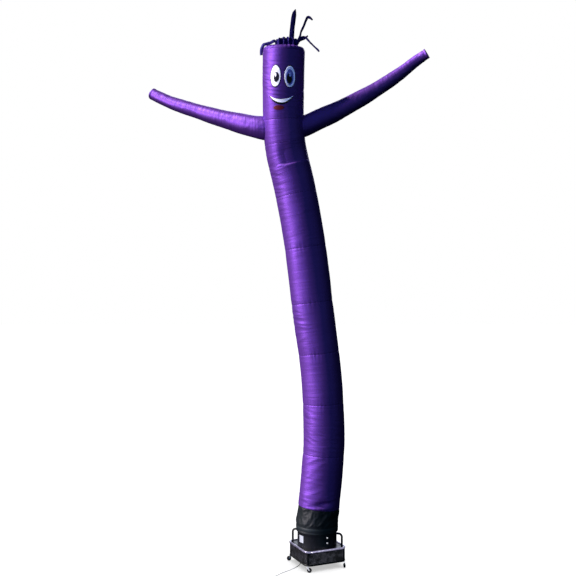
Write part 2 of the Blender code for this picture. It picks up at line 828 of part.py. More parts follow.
coilProfile = [
    (coilMidRadius - coilHalfWidth, coilHeight - 0.003),
    (coilMidRadius - coilHalfWidth + 0.003, coilHeight),
    (coilOuter - 0.003, coilHeight),
    (coilOuter, coilHeight - 0.003),
    (coilOuter, 0.0033),
    (coilOuter - 0.003, 0.0003),
    (coilMidRadius - coilHalfWidth + 0.003, 0.0003),
    (coilMidRadius - coilHalfWidth, 0.0033),
]
coil = turned("cord_coil", coilProfile, 24, cordJacket, whole)
coil.location = (*coilAt, 0)

# Plug: the last turn leaves the coil along a tangent and ends in it at once
plugAngle = radians(-120)
plugRear = sqrt((coilOuter + 0.0001) ** 2 - (coilMidRadius + coilHalfWidth / 2 - reliefTipRadius) ** 2)
plugProfile = [
    (reliefTipRadius, 0.0),
    (0.0105, plugReliefLength),
    (plugHalfHeight, plugReliefLength + 0.002),
    (plugHalfHeight, plugReliefLength + plugLength),
]
plugRows = []
for reach, x in plugProfile:
    flat = 1.0 if reach < plugHalfHeight else plugHalfWidth / plugHalfHeight
    plugRows.append([Vector((x, reach * flat * cos(a), reach * sin(a))) for a in [pi * k / 6 for k in range(12)]])
plug = meshObject("cord_plug", loft(plugRows, True, True), plugPlastic, whole)
radial = polar(1, plugAngle)
tangent = polar(1, plugAngle - pi / 2)
plugPlace = coilAt + radial * (coilMidRadius + coilHalfWidth / 2) + tangent * plugRear
plug.location = (*plugPlace, plugHalfHeight + 0.0003)
plug.rotation_euler.z = plugAngle - pi / 2
plugFace = plugReliefLength + plugLength
for index, y in enumerate((-0.0063, 0.0063), 1):
    blade = bmesh.new()
    boxMesh(blade, (plugFace - 0.004, y - 0.0008, -0.001), (plugFace + 0.016, y + 0.0008, 0.0055))
    join(plug, f"blade_{index}", blade)
earth = bmesh.new()
bmesh.ops.create_cone(
    earth, cap_ends=True, segments=10, radius1=0.0024, radius2=0.0024, depth=0.024,
    matrix=Matrix.Translation((plugFace + 0.008, 0, -0.0065)) @ Matrix.Rotation(pi / 2, 4, "Y"),
)
join(plug, "earth_pin", earth)
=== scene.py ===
import json
from math import cos, exp, pi, radians, sin, sqrt

import bmesh
import bpy
from mathutils import Matrix, Vector, noise

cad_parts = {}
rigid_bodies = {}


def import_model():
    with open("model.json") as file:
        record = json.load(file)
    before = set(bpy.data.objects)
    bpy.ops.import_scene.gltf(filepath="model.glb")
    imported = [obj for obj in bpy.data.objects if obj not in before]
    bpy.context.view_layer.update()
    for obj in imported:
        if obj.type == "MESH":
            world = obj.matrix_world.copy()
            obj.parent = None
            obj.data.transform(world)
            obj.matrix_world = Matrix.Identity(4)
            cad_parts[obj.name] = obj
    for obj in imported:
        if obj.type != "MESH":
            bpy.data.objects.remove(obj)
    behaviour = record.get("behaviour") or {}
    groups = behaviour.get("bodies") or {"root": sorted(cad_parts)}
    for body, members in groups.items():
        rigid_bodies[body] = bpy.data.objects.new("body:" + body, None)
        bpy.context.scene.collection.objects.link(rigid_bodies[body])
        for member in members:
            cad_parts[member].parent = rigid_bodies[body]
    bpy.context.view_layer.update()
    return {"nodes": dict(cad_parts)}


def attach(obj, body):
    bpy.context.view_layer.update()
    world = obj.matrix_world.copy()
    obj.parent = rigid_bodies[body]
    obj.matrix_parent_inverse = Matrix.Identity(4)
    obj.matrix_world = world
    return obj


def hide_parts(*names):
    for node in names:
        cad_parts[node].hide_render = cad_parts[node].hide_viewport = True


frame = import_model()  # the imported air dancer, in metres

body = "figure_and_blower"
blowerAt = Vector((0.375, -0.195, 0.0))
blowerTurn = radians(24)
upward = Vector((0, 0, 1))
cornerNames = {"left": 159, "front": 249, "right": -21, "back": 69}  # degrees seen from above


def hexColor(code):  # sRGB hex to linear colour
    values = [int(code[i:i + 2], 16) / 255 for i in (1, 3, 5)]
    return (*[v / 12.92 if v <= 0.04045 else ((v + 0.055) / 1.055) ** 2.4 for v in values], 1.0)


def addNode(tree, kind, links=None, **settings):  # links: input -> value, node or (node, output)
    node = tree.nodes.new(kind)
    for key, value in settings.items():
        setattr(node, key, value)
    for key, value in (links or {}).items():
        if isinstance(value, bpy.types.Node):
            tree.links.new(value.outputs[0], node.inputs[key])
        elif isinstance(value, tuple) and isinstance(value[0], bpy.types.Node):
            tree.links.new(value[0].outputs[value[1]], node.inputs[key])
        else:
            node.inputs[key].default_value = value
    return node


def smooth(t):
    t = min(max(t, 0.0), 1.0)
    return t * t * (3 - 2 * t)


def bell(x, width):
    return exp(-((x / width) ** 2))


def polar(radius, degrees, z=None):
    a = radians(degrees)
    flat = (cos(a) * radius, sin(a) * radius)
    return Vector(flat if z is None else (*flat, z))


# Smooth value of a table at its first column's key
def tableAt(table, key):
    last = len(table) - 2
    i = max(k for k in range(last + 1) if k == 0 or table[k][0] <= key)
    low, high = table[i], table[i + 1]
    step = high[0] - low[0]
    t = (key - low[0]) / step

    def slope(k):
        a, b = table[max(k - 1, 0)], table[min(k + 1, last + 1)]
        return [(q - p) / (b[0] - a[0]) for p, q in zip(a[1:], b[1:])]

    h = (2 * t**3 - 3 * t**2 + 1, t**3 - 2 * t**2 + t, 3 * t**2 - 2 * t**3, t**3 - t**2)
    pairs = zip(low[1:], slope(i), high[1:], slope(i + 1))
    return [h[0] * p + h[1] * step * m + h[2] * q + h[3] * step * n for p, m, q, n in pairs]


def pointsAt(points, share):
    return tableAt([(i, *p) for i, p in enumerate(points)], share * (len(points) - 1))


def crossAxes(tangent, hint):
    side = (hint - tangent * hint.dot(tangent)).normalized()
    return side, tangent.cross(side)


# Points round a middle, square to a direction; the first lies to the side of the hint
def ringAround(middle, tangent, count, radiusAt, hint=Vector((1, 0, 0))):
    side, front = crossAxes(tangent, hint)
    ring = []
    for i in range(count):
        a = 2 * pi * i / count
        ring.append(middle + (side * cos(a) + front * sin(a)) * radiusAt(a))
    return ring


def finishPiece(ob, mats, ride=body, replaced=()):
    for mat in mats:
        ob.data.materials.append(mat)
    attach(ob, ride)
    if replaced:
        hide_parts(*replaced)
    return ob


def meshPiece(name, bm, angle=None):
    mesh = bpy.data.meshes.new(name)
    bm.to_mesh(mesh)
    bm.free()
    mesh.shade_smooth()
    if angle:
        mesh.set_sharp_from_angle(angle=radians(angle))
    ob = bpy.data.objects.new(name, mesh)
    bpy.context.scene.collection.objects.link(ob)
    return ob


# Rings of points joined into a surface: closed round each ring, and from the last ring back to the
# first where loop is set. The map "weave" holds metres round and along the cloth.
def ringPiece(name, rings, loop=True, caps=False, width=1.0, alongs=None, angle=None):
    bm = bmesh.new()
    layer = bm.loops.layers.uv.new("weave")
    made = [[bm.verts.new(p) for p in ring] for ring in rings]
    count = len(rings[0])
    pairs = list(zip(range(len(made)), range(1, len(made))))
    if loop:
        pairs.append((len(made) - 1, 0))
    for a, b in pairs:
        for i in range(count):
            j = (i + 1) % count
            face = bm.faces.new((made[a][i], made[a][j], made[b][j], made[b][i]))
            if alongs:
                spots = [(i, a), (i + 1, a), (i + 1, b), (i, b)]
                for corner, (u, v) in zip(face.loops, spots):
                    corner[layer].uv = (u / count * width, alongs[v])
    if caps:
        bm.faces.new(list(reversed(made[0])))
        bm.faces.new(made[-1])
        bmesh.ops.recalc_face_normals(bm, faces=bm.faces)
    return meshPiece(name, bm, angle)


# Result of a node tree on an object, as a plain mesh piece of its own
def bakeNodes(source, name):
    bpy.context.view_layer.update()
    graph = bpy.context.evaluated_depsgraph_get()
    mesh = bpy.data.meshes.new_from_object(source.evaluated_get(graph))
    source.modifiers.clear()
    ob = bpy.data.objects.new(name, mesh)
    bpy.context.scene.collection.objects.link(ob)
    bpy.data.objects.remove(source, do_unlink=True)
    mesh.name = name
    return ob


def pathObject(name, points, closed):
    curve = bpy.data.curves.new(name, "CURVE")
    curve.dimensions = "3D"
    spline = curve.splines.new("POLY")
    spline.points.add(len(points) - 1)
    for slot, p in zip(spline.points, points):
        slot.co = (*p, 1.0)
    spline.use_cyclic_u = closed
    ob = bpy.data.objects.new(name, curve)
    bpy.context.scene.collection.objects.link(ob)
    return ob


def setInputs(ob, tree, values):  # by the sockets' identifiers
    mod = ob.modifiers.new("nodes", "NODES")
    mod.node_group = tree
    for item in tree.interface.items_tree:
        if item.in_out == "INPUT" and item.name in values:
            mod[item.identifier] = values[item.name]
    return mod


# Camera, straight on and at half height
cameraData = bpy.data.cameras.new("camera")
cameraData.sensor_width = 36
cameraData.lens = 51.95
cameraData.clip_end = 200
camera = bpy.data.objects.new("camera", cameraData)
camera.location = (0.044, -9.665, 3.14)
camera.rotation_euler = (pi / 2, 0, 0)
bpy.context.scene.collection.objects.link(camera)
bpy.context.scene.camera = camera

# Power cord
cordLook = {
    "radius": 0.0045,
    "floor": 0.0047,
    "gland": Vector((-0.150, 0.064, 0.0587)),
    "heading": 247,
    "coilAt": Vector((-0.560, -0.585)),
    "meet": 25,  # degrees where the lead reaches the coil
    "leave": -120,  # degrees where the wound end leaves for the plug
}
windingRows = [  # turns, radius, height of the cord's middle
    (0.0, 0.0640, 0.0047), (0.2, 0.0545, 0.0047), (0.95, 0.0545, 0.0047), (1.2, 0.0453, 0.0047),
    (1.6, 0.0453, 0.0047), (1.9, 0.0453, 0.0138), (2.6, 0.0453, 0.0138), (2.9, 0.0453, 0.0229),
    (3.3, 0.0453, 0.0229), (3.55, 0.0545, 0.0229), (3.6, 0.0545, 0.0229), (3.9, 0.0545, 0.0138),
    (4.5, 0.0545, 0.0138),
]


def cordLine(look):
    heading = polar(1, look["heading"], 0)
    meetPoint = look["coilAt"] + polar(0.064, look["meet"])
    travel = polar(1, look["meet"] - 90)
    floor = look["floor"]
    route = [look["gland"], look["gland"] + heading * 0.020]
    route += [(-0.169, 0.016, 0.0497), (-0.180, -0.014, 0.032), (-0.193, -0.046, 0.014)]
    lying = [(-0.214, -0.086), (-0.243, -0.135), (-0.281, -0.190), (-0.325, -0.243), (-0.373, -0.296),
             (-0.418, -0.349), (-0.455, -0.405), meetPoint - travel * 0.065 + polar(0.010, look["meet"]),
             meetPoint]
    route += [(*p, floor) for p in lying]
    points = [Vector(pointsAt(route, i / 43)) for i in range(43)]
    turns = 4 + (look["meet"] - look["leave"]) / 360
    steps = round(turns * 24)
    for i in range(steps + 1):
        t = turns * i / steps
        k = max(n for n in range(len(windingRows) - 1) if windingRows[n][0] <= t)
        low, high = windingRows[k], windingRows[k + 1]
        s = smooth((t - low[0]) / (high[0] - low[0]))
        radius = low[1] + (high[1] - low[1]) * s
        height = low[2] + (high[2] - low[2]) * s
        points.append(Vector((*(look["coilAt"] + polar(radius, look["meet"] - 360 * t)), height)))
    away = polar(1, look["leave"] - 90, 0)
    last = points[-1]
    for reach in (0.008, 0.017, 0.026, 0.0345):
        points.append(last + away * reach - Vector((0, 0, 0.0009 * reach / 0.0345)))
    return [blowerAt + Vector((p[0], p[1], max(p[2], floor))) for p in points]


cordPath = cordLine(cordLook)
cordPiece = pathObject("power_cord", cordPath, False)
cordPiece.data.bevel_depth = cordLook["radius"]
cordPiece.data.bevel_resolution = 4
cordPiece.data.use_fill_caps = True
print("stage: cord")


# Materials
def newMaterial(name, color, roughness, **sockets):
    mat = bpy.data.materials.new(name)
    mat.use_nodes = True
    tree = mat.node_tree
    shader = tree.nodes["Principled BSDF"]
    shader.inputs["Base Color"].default_value = hexColor(color)
    shader.inputs["Roughness"].default_value = roughness
    for key, value in sockets.items():
        shader.inputs[key.replace("_", " ")].default_value = value
    return mat, tree, shader


# Woven polyester: warp and weft crossings, soft unevenness of the dye, and fine tension wrinkles.
# Real threads lie 0.35 mm apart, too fine to show, so they are drawn at the pitch given. Bright
# filament reflects in its own colour, which "satin" gives.
def wovenCloth(name, colour, deep, roughness, satin, gloss, pitch, threadTone, wrinkleScale, wrinkleDepth):
    mat, tree, shader = newMaterial(name, colour, roughness, Metallic=satin, Specular_IOR_Level=gloss)
    weave = addNode(tree, "ShaderNodeUVMap", uv_map="weave")
    place = addNode(tree, "ShaderNodeTexCoord")
    scale = 0.314 / pitch
    warp = addNode(tree, "ShaderNodeTexWave", {"Vector": weave, "Scale": scale}, bands_direction="X")
    weft = addNode(tree, "ShaderNodeTexWave", {"Vector": weave, "Scale": scale}, bands_direction="Y")
    cross = addNode(tree, "ShaderNodeMath", {0: (warp, 1), 1: (weft, 1)}, operation="MULTIPLY")
    patches = addNode(
        tree, "ShaderNodeTexNoise", {"Vector": (place, 3), "Scale": 2.6, "Detail": 3.0, "Roughness": 0.6}
    )
    tone = addNode(tree, "ShaderNodeMapRange", {0: (patches, 0), 1: 0.3, 2: 0.7})
    thread = addNode(tree, "ShaderNodeMath", {0: cross, 1: threadTone}, operation="MULTIPLY")
    shade = addNode(tree, "ShaderNodeMath", {0: tone, 1: thread}, operation="SUBTRACT", use_clamp=True)
    mixColours(tree, shader, shade, deep, colour)
    stretch = addNode(tree, "ShaderNodeMapping", {0: weave, 3: wrinkleScale})
    wrinkles = addNode(
        tree, "ShaderNodeTexNoise", {0: stretch, "Scale": 1.0, "Detail": 4.0, "Distortion": 0.6}
    )
    folds = addNode(
        tree, "ShaderNodeBump", {"Height": wrinkles, "Distance": wrinkleDepth, "Strength": 0.6}
    )
    threads = addNode(
        tree, "ShaderNodeBump", {"Height": cross, "Distance": 0.0003, "Strength": 0.35, "Normal": folds}
    )
    tree.links.new(threads.outputs[0], shader.inputs["Normal"])
    return mat


def mixColours(tree, shader, share, low, high):
    mix = addNode(tree, "ShaderNodeMix", {0: share, 6: hexColor(low), 7: hexColor(high)}, data_type="RGBA")
    tree.links.new(mix.outputs[2], shader.inputs["Base Color"])


# Moulded, painted or plated parts: a fine grain and a broad unevenness of the gloss
def hardFinish(name, colour, wearAndGlint, roughness, metal, coat, grain, depth):
    mat, tree, shader = newMaterial(name, colour, roughness, Metallic=metal, Coat_Weight=coat)
    shader.inputs["Coat Roughness"].default_value = 0.08
    place = addNode(tree, "ShaderNodeTexCoord")
    fine = addNode(tree, "ShaderNodeTexNoise", {"Vector": (place, 3), "Scale": 1 / grain, "Detail": 2.0})
    broad = addNode(tree, "ShaderNodeTexNoise", {"Vector": (place, 3), "Scale": 18.0, "Detail": 4.0})
    # broad patches of the second colour: random wear on most finishes, painted glints on the guard wire
    uneven = addNode(tree, "ShaderNodeMapRange", {0: (broad, 0), 1: 0.42, 2: 0.60})
    mixColours(tree, shader, uneven, wearAndGlint, colour)
    span = {0: (broad, 0), 1: 0.3, 2: 0.7, 3: roughness * 0.8, 4: roughness * 1.3}
    gloss = addNode(tree, "ShaderNodeMapRange", span)
    tree.links.new(gloss.outputs[0], shader.inputs["Roughness"])
    bump = addNode(tree, "ShaderNodeBump", {"Height": (fine, 0), "Distance": depth, "Strength": 0.5})
    tree.links.new(bump.outputs[0], shader.inputs["Normal"])
    return mat


clothRows = [
    # key, material, colour, deep colour, roughness, satin, gloss, pitch, thread tone, wrinkle scale and depth
    # dyed plain weave pressed smooth: a soft satin band where it faces the light
    ("purple", "pressedPolyester", "#8c58cf", "#8350c6", 0.51, 0.65, 0.2, 0.0030, 0.25, (2.4, 26, 1), 0.005),
    # the same cloth gathered, with its wrinkles running inwards; both colours darker than the tube's, as
    # painted shade
    ("crown", "gatheredPolyester", "#8350c6", "#6a3fae", 0.6, 0.6, 0.2, 0.0030, 0.25, (26, 5, 1), 0.003),
    # raw-cut dark strips
    ("hair", "rawCutPolyester", "#3a2a90", "#261a6a", 0.6, 0.3, 0.25, 0.0024, 0.3, (30, 12, 1), 0.002),
    # polyurethane-coated black oxford: greenish-grey sheen on crumpled folds
    ("sleeve", "coatedOxford", "#2a3238", "#1a1f24", 0.5, 0.0, 0.4, 0.0026, 0.3, (14, 16, 1), 0.004),
    # ribbed webbing: dull, with cross ribs
    ("strap", "wovenPolypropylene", "#39434a", "#262d33", 0.5, 0.0, 0.4, 0.0040, 0.5, (6, 60, 1), 0.001),
]
cloths = {row[0]: wovenCloth(*row[1:]) for row in clothRows}

hardRows = [
    # key, material, colour, wear and glint colour, roughness, metal, coat, grain size, grain depth
    # satin black with a fine orange-peel grain
    ("drum", "mouldedPolyethylene", "#1b1c22", "#24262d", 0.36, 0.0, 0.0, 0.0016, 0.0002),
    # glossy lavender-grey enamel
    ("hoop", "enamelledSteelTube", "#a09bb6", "#837e9a", 0.22, 0.4, 0.9, 0.004, 0.0001),
    # even black with a fine grain
    ("frame", "powderCoatedSteel", "#121217", "#1b1b20", 0.42, 0.0, 0.0, 0.0009, 0.0002),
    # black, with grey patches painted in as glints
    ("wire", "rubbedPaintedWire", "#17171c", "#5a5a64", 0.4, 0.3, 0.0, 0.002, 0.0001),
    # dull black behind the wires
    ("liner", "paintedSheet", "#15151b", "#1f1f26", 0.5, 0.0, 0.0, 0.003, 0.0002),
    # smooth black grips
    ("handle", "dippedVinyl", "#0d0d10", "#16161a", 0.35, 0.0, 0.0, 0.001, 0.0001),
    # plain pale label stock
    ("plate", "vinylLabelStock", "#dfe2ee", "#cdd1e0", 0.4, 0.0, 0.0, 0.003, 0.00005),
    # bright, faintly clouded
    ("zinc", "zincPlatedSteel", "#e2e3e8", "#c9cbd2", 0.40, 0.4, 0.0, 0.002, 0.0001),
    # matt tread
    ("rubber", "mouldedRubber", "#131313", "#1f1f1f", 0.65, 0.0, 0.0, 0.0008, 0.0002),
    # soft pale jacket
    ("cord", "extrudedVinyl", "#b2b2b6", "#a0a0a5", 0.5, 0.0, 0.0, 0.0012, 0.0001),
    # dark, faintly grained
    ("plug", "mouldedVinyl", "#25262a", "#1b1c1f", 0.4, 0.0, 0.0, 0.0010, 0.0001),
    # a shade lighter than the cloth's dark side
    ("thread", "spunPolyesterThread", "#7c50bd", "#6c43ab", 0.6, 0.0, 0.0, 0.0008, 0.0001),
]
finishes = {row[0]: hardFinish(*row[1:]) for row in hardRows}

printLooks = {  # screen inks on the cloth: flat, slightly satin
    "whiteInk": ("#f4f3f7", 0.45),
    # the right glint's ink, greyed as painted shade
    "greyInk": ("#8d9ac4", 0.45),
    "darkInk": ("#0d0920", 0.45),
    "redInk": ("#8a1a34", 0.5),
    # painted shade for the right eye, not an ink of the print
    "blueInk": ("#3f4d94", 0.45),
}
inks = {}
for inkName, (inkColour, inkRoughness) in printLooks.items():
    inks[inkName], inkTree, inkShader = newMaterial(inkName, inkColour, inkRoughness)
    inkPlace = addNode(inkTree, "ShaderNodeTexCoord")
    inkGrain = addNode(inkTree, "ShaderNodeTexNoise", {"Vector": (inkPlace, 3), "Scale": 300.0})
    inkBump = addNode(
        inkTree, "ShaderNodeBump", {"Height": (inkGrain, 0), "Distance": 0.0002, "Strength": 0.3}
    )
    inkTree.links.new(inkBump.outputs[0], inkShader.inputs["Normal"])
print("stage: materials")

finishPiece(cordPiece, [finishes["cord"]], replaced=("cord_tube", "cord_coil"))


# Cloth tube
tube = {
    "radius": 0.2335,
    "seams": [0.660, 1.249, 1.828, 2.400, 2.973, 3.596, 4.202, 4.785, 5.046, 5.800],
    "strength": [0.8, 0.8, 0.9, 0.9, 1.0, 0.8, 0.4, 0.2, 0.8, 0.15],  # of each seam
    "pinch": 0.0030,  # how far the cloth draws in towards a seam
    "crease": 0.0036,  # extra at the seam itself
    "gathers": 0.0024,
    "ridges": 0.0026,  # tension wrinkles that run round the tube
    "dents": 0.0034,
    "segments": 168,
    "spacing": 0.0074,  # metres between rows
}
sway = [
    # z, x, y
    (0.30, 0.000, 0.000), (0.60, 0.016, 0.000), (1.01, 0.055, 0.000), (1.42, 0.078, 0.005),
    (2.11, 0.053, 0.010), (2.93, -0.050, 0.015), (3.76, -0.158, 0.020), (4.30, -0.256, 0.015),
    (4.72, -0.352, 0.000), (5.05, -0.382, -0.035), (5.40, -0.385, -0.080), (5.92, -0.375, -0.150),
]


def middleAt(z):
    x, y = tableAt(sway, z)
    return Vector((x, y, z))


def leanAt(z, reach=0.02):
    return (middleAt(z + reach) - middleAt(z - reach)).normalized()


# Sharp crests between soft hollows, as pulled cloth has
def crest(x, y, z):
    return 1 - 2 * abs(noise.noise(Vector((x, y, z))))


def tubeRadiusAt(z, angle):
    k = min(range(len(tube["seams"])), key=lambda n: abs(z - tube["seams"][n]))
    away = abs(z - tube["seams"][k])
    ca, sa = cos(angle), sin(angle)
    radius = tube["radius"] + 0.002 * sin(2 * angle + 2.3 * z) + 0.0015 * sin(3 * angle - 3.1 * z)
    uneven = tube["strength"][k] * (0.75 + 0.5 * noise.noise(Vector((ca * 1.3, sa * 1.3, 5.0 * k))))
    radius -= uneven * (tube["pinch"] * bell(away, 0.055) + tube["crease"] * exp(-away / 0.008))
    near = exp(-away / 0.045) * min(1.0, uneven * 1.2)
    radius += tube["gathers"] * near * crest(ca * 7.5, sa * 7.5, z * 3 + k)
    far = 1 - 0.6 * exp(-away / 0.03)
    ring = crest(ca * 1.1 + 4, sa * 1.1, z * 17 + 1.2 * sin(angle + 5 * z))
    calm = smooth(noise.noise(Vector((ca * 0.6, sa * 0.6, z * 1.9 + 7))) * 2 + 0.5)
    radius += tube["ridges"] * far * calm * ring
    radius += tube["dents"] * noise.noise(Vector((ca * 1.6, sa * 1.6, z * 3.1 + 11)))
    return radius


def tubePoint(z, angle, proud=0.0, radius=None):
    side, front = crossAxes(leanAt(z), Vector((1, 0, 0)))
    reach = (tubeRadiusAt(z, angle) if radius is None else radius) + proud
    return blowerAt + middleAt(z) + (side * cos(angle) + front * sin(angle)) * reach


def tubeRing(z, count, proud=0.0, radius=None, shape=None):
    def reachAt(angle):
        reach = (tubeRadiusAt(z, angle) if radius is None else radius) + proud
        return reach + shape(z, angle) if shape else reach

    return ringAround(blowerAt + middleAt(z), leanAt(z), count, reachAt)


def heightsBetween(low, high):
    rows = max(8, round((high - low) / tube["spacing"]))
    even = [low + (high - low) * i / rows for i in range(rows + 1)]
    extra = [low + 0.0025, high - 0.0025]  # holds the crease at the seam
    return sorted(even + extra)


# One sewn panel: its outer face follows the wrinkles, its edges turn in at the seams, and the inner
# face is plain
def tubePanel(name, node, low, high, shape=None):
    low, high = low + 0.00015, high - 0.00015
    heights = heightsBetween(low, high)
    count = tube["segments"]
    rings = [tubeRing(z, count, shape=shape) for z in heights]
    inner = [high - (high - low) * i / 8 for i in range(9)]
    rings += [tubeRing(z, count, radius=tube["radius"] - 0.018) for z in inner]
    piece = ringPiece(name, rings, width=2 * pi * tube["radius"], alongs=heights + inner)
    finishPiece(piece, [cloths["purple"]], replaced=(node,))
    return piece


# Slack cloth over the sleeve's seam: a hollow at the front and a roll under it
def bottomSlack(z, angle):
    across = (angle - radians(272)) * tube["radius"]
    hollow = -0.020 * bell(across - 0.02, 0.075) * bell(z - 0.728 - 0.2 * across, 0.028)
    roll = 0.009 * bell(across + 0.02, 0.12) * bell(z - 0.682 - 0.10 * across, 0.014)
    folds = 0.004 * exp(-(z - 0.66) / 0.05) * crest(cos(angle) * 3.1, sin(angle) * 3.1, z * 2)
    return hollow + roll + folds


# Fold across the front under the arms: the cloth draws in above it and stands out below
def armpitFold(z, angle):
    across = (angle - radians(270)) * tube["radius"]
    line = z - 4.532 - 0.02 * bell(across + 0.12, 0.05)
    side = smooth((across + 0.13) / 0.13) * (1 - 0.7 * smooth((across - 0.10) / 0.16))
    over = -0.022 * side * smooth(line / 0.012) * smooth((4.84 - z) / 0.20)
    lip = 0.009 * smooth(-line / 0.010) * exp(min(line, 0.0) / 0.05) * bell(across + 0.01, 0.16)
    small = 0.0045 * bell(across - 0.06, 0.07) * crest(across * 3, 0.0, z * 20 + 0.6)
    return over + lip + small * bell(z - 4.02, 0.09)


shapes = {1: bottomSlack, 6: armpitFold, 7: armpitFold}
for number in range(1, 8):
    seamLow, seamHigh = tube["seams"][number - 1], tube["seams"][number]
    tubePanel(f"cloth_panel_{number}", f"body_panel_{number}", seamLow, seamHigh, shapes.get(number))
tubePanel("cloth_shoulder", "shoulder_panel", tube["seams"][7], tube["seams"][8], armpitFold)
tubePanel("cloth_head", "head_panel", tube["seams"][8], tube["seams"][9])
print("stage: tube")

# Gathered top of the head
crownLook = {"pleats": 26, "depth": 0.009}
crownRows = [(0.0, 1.0), (0.014, 0.985), (0.030, 0.945), (0.041, 0.87), (0.046, 0.76)]


def crownPiece():
    seam = tube["seams"][-1] + 0.00015
    count = tube["segments"]
    top = crownRows[-1][0]
    profile = []
    for i in range(25):
        share, = tableAt(crownRows, top * i / 24)
        profile.append((top * i / 24, share))
    profile += [(top + 0.0005, 0.76 - 0.72 * i / 12) for i in range(1, 13)]
    rings, alongs, along = [], [], tube["seams"][-1]
    for k, (rise, share) in enumerate(profile):
        z = seam + rise
        side, front = crossAxes(leanAt(z), Vector((1, 0, 0)))
        grow = smooth(rise / 0.04) * smooth((share - 0.02) / 0.2)
        ring = []
        for i in range(count):
            a = 2 * pi * i / count
            wander = 1.6 * noise.noise(Vector((cos(a) * 1.4, sin(a) * 1.4, 3.0)))
            pleat = crownLook["depth"] * grow * cos(crownLook["pleats"] * a + wander)
            pleat *= 0.55 + 0.45 * sin(5 * a + 1)
            base = tubeRadiusAt(seam, a) if k == 0 else tube["radius"] * share + 0.4 * pleat
            lift = pleat * 0.6 * smooth((rise - 0.02) / 0.025)
            ring.append(blowerAt + middleAt(z) + (side * cos(a) + front * sin(a)) * base + leanAt(z) * lift)
        rings.append(ring)
        if k:
            along += sqrt((rise - profile[k - 1][0]) ** 2 + (0.2335 * (share - profile[k - 1][1])) ** 2)
        alongs.append(along)
    piece = ringPiece("cloth_crown", rings, loop=False, width=2 * pi * tube["radius"], alongs=alongs)
    bm = bmesh.new()
    bm.from_mesh(piece.data)
    holes = [e for e in bm.edges if e.is_boundary and e.verts[0].co.z > seam + 0.03]
    bmesh.ops.holes_fill(bm, edges=holes)
    bm.to_mesh(piece.data)
    bm.free()
    wall = piece.modifiers.new("wall", "SOLIDIFY")
    wall.thickness = 0.003
    wall.offset = -1.0
    return piece


crown = finishPiece(crownPiece(), [cloths["crown"]], replaced=("crown",))
print("stage: crown")

# Arms
armLooks = {
    "right": [
        # x, y, z, radius
        (-0.377, -0.020, 4.920, 0.114), (-0.147, -0.015, 4.982, 0.115), (0.036, -0.010, 5.066, 0.111),
        (0.219, 0.000, 5.151, 0.105), (0.402, 0.010, 5.249, 0.098), (0.585, 0.020, 5.351, 0.090),
        (0.768, 0.030, 5.466, 0.081), (0.950, 0.022, 5.590, 0.071), (1.130, -0.010, 5.726, 0.060),
        (1.244, -0.058, 5.794, 0.052),
    ],
    "left": [
        (-0.377, 0.000, 4.942, 0.142), (-0.586, 0.012, 4.962, 0.134), (-0.747, 0.060, 4.997, 0.120),
        (-0.897, 0.135, 5.047, 0.111), (-1.048, 0.210, 5.099, 0.103), (-1.206, 0.290, 5.157, 0.095),
        (-1.370, 0.375, 5.222, 0.088), (-1.542, 0.465, 5.292, 0.082), (-1.718, 0.555, 5.368, 0.076),
        (-1.872, 0.635, 5.447, 0.069), (-1.987, 0.695, 5.511, 0.063),
    ],
}
arm = {"segments": 112, "rows": 190, "hem": 0.030, "ridges": 0.0016, "rise": 0.003}


def armFrame(table, share):
    ahead = Vector(pointsAt(table, min(share + 0.01, 1))[:3])
    behind = Vector(pointsAt(table, max(share - 0.01, 0))[:3])
    x, y, z, radius = pointsAt(table, share)
    tangent = (ahead - behind).normalized()
    return Vector((x, y, z)), tangent, radius


def armPoint(table, share, angle, proud=0.0, wrinkled=True):
    middle, tangent, radius = armFrame(table, share)
    side, front = crossAxes(tangent, upward)
    radius += 0.0015 * sin(9 * share * pi) + 0.002 * sin(2 * angle + 8 * share) + proud
    if wrinkled:
        ca, sa = cos(angle), sin(angle)
        radius += arm["ridges"] * crest(ca * 1.2 + 9, sa * 1.2, share * 26 + sin(angle))
        radius += 0.0022 * noise.noise(Vector((ca * 1.5, sa * 1.5, share * 7 + radius)))
    return middle + (side * cos(angle) + front * sin(angle)) * radius


# Share of the arm's length at which one of its lines comes out of the tube
def armRoot(table, angle):
    low, high = 0.0, 0.5
    for _ in range(18):
        share = (low + high) / 2
        p = armPoint(table, share, angle, wrinkled=False)
        middle = middleAt(p.z)
        out = Vector((p.x - middle.x, p.y - middle.y)).length
        if out < tube["radius"] - 0.006:
            low = share
        else:
            high = share
    return low


